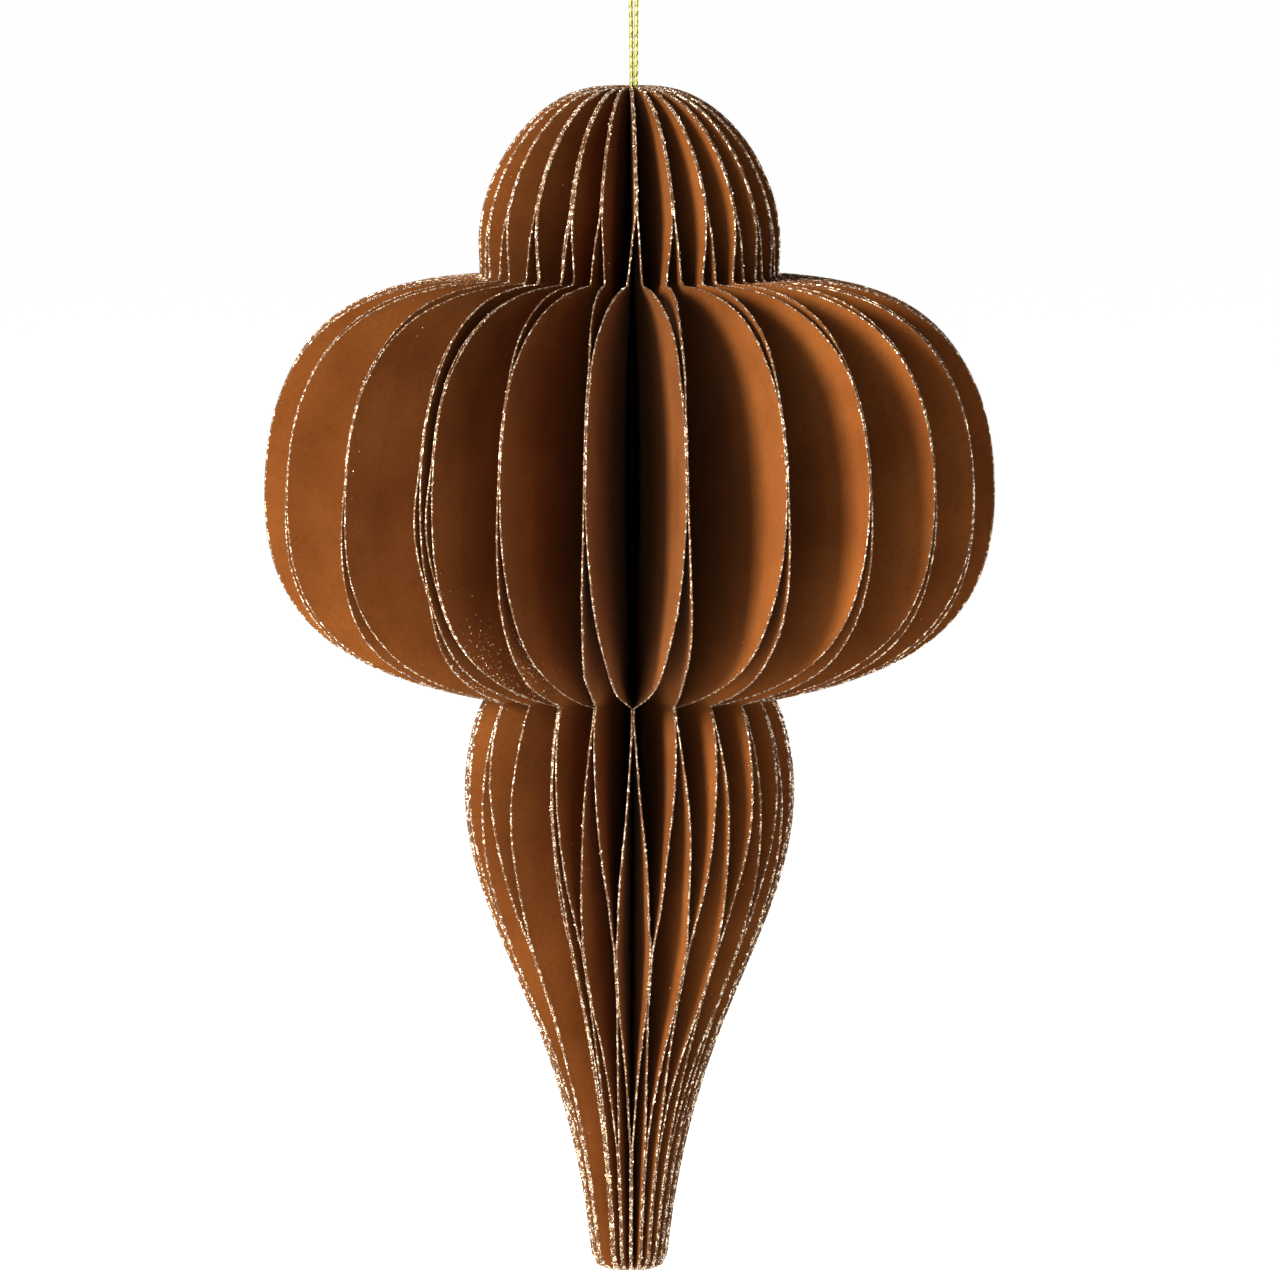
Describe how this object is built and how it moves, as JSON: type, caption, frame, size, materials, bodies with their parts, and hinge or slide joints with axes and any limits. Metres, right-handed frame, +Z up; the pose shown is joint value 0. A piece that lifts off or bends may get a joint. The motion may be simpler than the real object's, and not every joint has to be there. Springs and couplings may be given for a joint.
{
  "type": "honeycomb paper finial ornament",
  "caption": "Hanging ornament of glued fan leaves in a finial outline with dome, round bulb and long tapering drop, closed by magnets in its covers and hung from a cord loop.",
  "frame": {"origin": "hanging point, under the top of the cord loop", "axes": "+Z up along the hanging line, -Y the side with the closure seen slightly to the left, +X to the right of that side"},
  "size_m": [0.1229, 0.1228, 0.2587],
  "materials": {
    "card": "matte chestnut brown card with glitter on its cut edges",
    "binding": "matte brown paper strip",
    "cord": "braided metallic gold thread",
    "magnet": "nickel plated disc"
  },
  "bodies": {
    "root": {"cover_right_outer": "card", "cover_right_inner": "card", "leaf_01": "card", "leaf_02": "card", "leaf_03": "card", "leaf_04": "card", "leaf_05": "card", "leaf_06": "card", "leaf_07": "card", "leaf_08": "card", "leaf_09": "card", "leaf_10": "card", "leaf_11": "card", "leaf_12": "card", "leaf_13": "card", "leaf_14": "card", "leaf_15": "card", "leaf_16": "card", "leaf_17": "card", "leaf_18": "card", "leaf_19": "card", "leaf_20": "card", "leaf_21": "card", "leaf_22": "card", "leaf_23": "card", "leaf_24": "card", "leaf_25": "card", "leaf_26": "card", "leaf_27": "card", "leaf_28": "card", "leaf_29": "card", "leaf_30": "card", "leaf_31": "card", "leaf_32": "card", "leaf_33": "card", "leaf_34": "card", "leaf_35": "card", "leaf_36": "card", "leaf_37": "card", "leaf_38": "card", "leaf_39": "card", "leaf_40": "card", "leaf_41": "card", "leaf_42": "card", "leaf_43": "card", "leaf_44": "card", "leaf_45": "card", "leaf_46": "card", "cover_left_inner": "card", "cover_left_outer": "card", "spine_strip": "binding", "magnet_right": "magnet", "magnet_left": "magnet", "cord_knot": "cord", "hanging_loop": "cord"}
  },
  "joints": []
}
